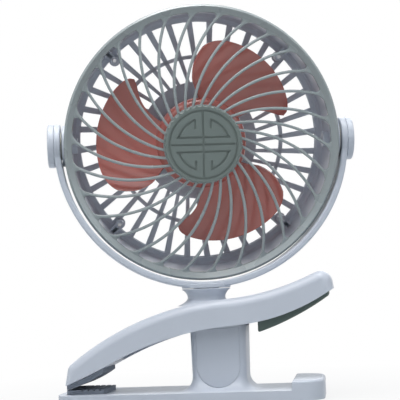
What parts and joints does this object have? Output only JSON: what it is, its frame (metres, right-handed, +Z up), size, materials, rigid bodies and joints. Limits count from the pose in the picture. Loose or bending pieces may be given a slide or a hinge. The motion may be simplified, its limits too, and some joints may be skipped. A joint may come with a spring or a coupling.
{
  "type": "clip-on desk fan",
  "caption": "Small caged fan on a swivelling, tilting yoke, standing on a spring clip with a curved lever handle.",
  "frame": {"origin": "on the standing surface, straight below the swivel axis of the yoke", "axes": "+Z up along the swivel axis, +X along the clip towards the handle end, -Y towards the front of the fan"},
  "size_m": [0.1568, 0.0726, 0.2007],
  "materials": {
    "white_plastic": "satin moulded ABS",
    "grille_plastic": "satin moulded ABS",
    "badge_plastic": "satin",
    "blade_plastic": "tinted, glossy",
    "grip_rubber": "matte",
    "foot_rubber": "matte",
    "steel": "zinc plated",
    "can_steel": "drawn",
    "brass": "turned",
    "copper": "enamelled wire",
    "magnet": "sintered",
    "nylon": "moulded nylon",
    "board": "solder mask",
    "cell_wrap": "shrink wrap",
    "switch_black": "moulded",
    "lens": "clear"
  },
  "bodies": {
    "base": {"base_shell": "white_plastic", "bottom_cover": "white_plastic", "rubber_feet": "foot_rubber", "cover_screws": "steel", "stem_panel": "white_plastic", "lower_grip_pad": "grip_rubber", "clip_spring": "steel"},
    "clip_lever": {"clip_arm": "white_plastic", "upper_grip_pad": "grip_rubber", "handle_grip": "grip_rubber", "grip_screws": "steel", "hinge_pin": "steel", "insert_nut": "brass", "swivel_screw": "steel"},
    "yoke_frame": {"yoke": "white_plastic", "swivel_washer": "nylon", "pivot_caps": "white_plastic", "tilt_washers": "nylon"},
    "fan_head": {"drum": "white_plastic", "front_grille": "grille_plastic", "hub_badge": "badge_plastic", "rear_grille": "white_plastic", "rear_screws": "steel", "pivot_screws": "steel", "pod_cover": "white_plastic", "pod_screws": "steel", "battery_cell": "cell_wrap", "control_board": "board", "charging_socket": "steel", "button_switch": "switch_black", "indicator_lens": "lens", "motor_can": "can_steel", "motor_end_cap": "nylon", "motor_bushes": "brass", "motor_magnets": "magnet"},
    "rotor": {"impeller": "blade_plastic", "motor_shaft": "steel", "rotor_core": "can_steel", "rotor_coils": "copper", "commutator": "copper"},
    "button": {"speed_button": "white_plastic"}
  },
  "joints": [
    {"name": "clip_open", "type": "hinge", "parent": "base", "child": "clip_lever", "pos_m": [0.0063, 0, 0.0415], "axis": [0, 1, 0], "range_deg": [0, 25], "stiffness_Nm_per_rad": 0.5, "springref_deg": -40.11, "deforming": ["clip_spring"]},
    {"name": "yoke_swivel", "type": "hinge", "parent": "clip_lever", "child": "yoke_frame", "pos_m": [0, 0, 0.0568], "axis": [0, 0, 1], "continuous": true},
    {"name": "head_tilt", "type": "hinge", "parent": "yoke_frame", "child": "fan_head", "pos_m": [0, 0, 0.1315], "axis": [0.9816, 0.1908, 0], "continuous": true},
    {"name": "fan_spin", "type": "hinge", "parent": "fan_head", "child": "rotor", "pos_m": [0, 0, 0.1315], "axis": [0.1873, -0.9636, -0.1908], "continuous": true},
    {"name": "button_press", "type": "slide", "parent": "fan_head", "child": "button", "axis": [0.1873, -0.9636, -0.1908], "range_m": [0, 0.0008], "stiffness_N_per_m": 500}
  ]
}
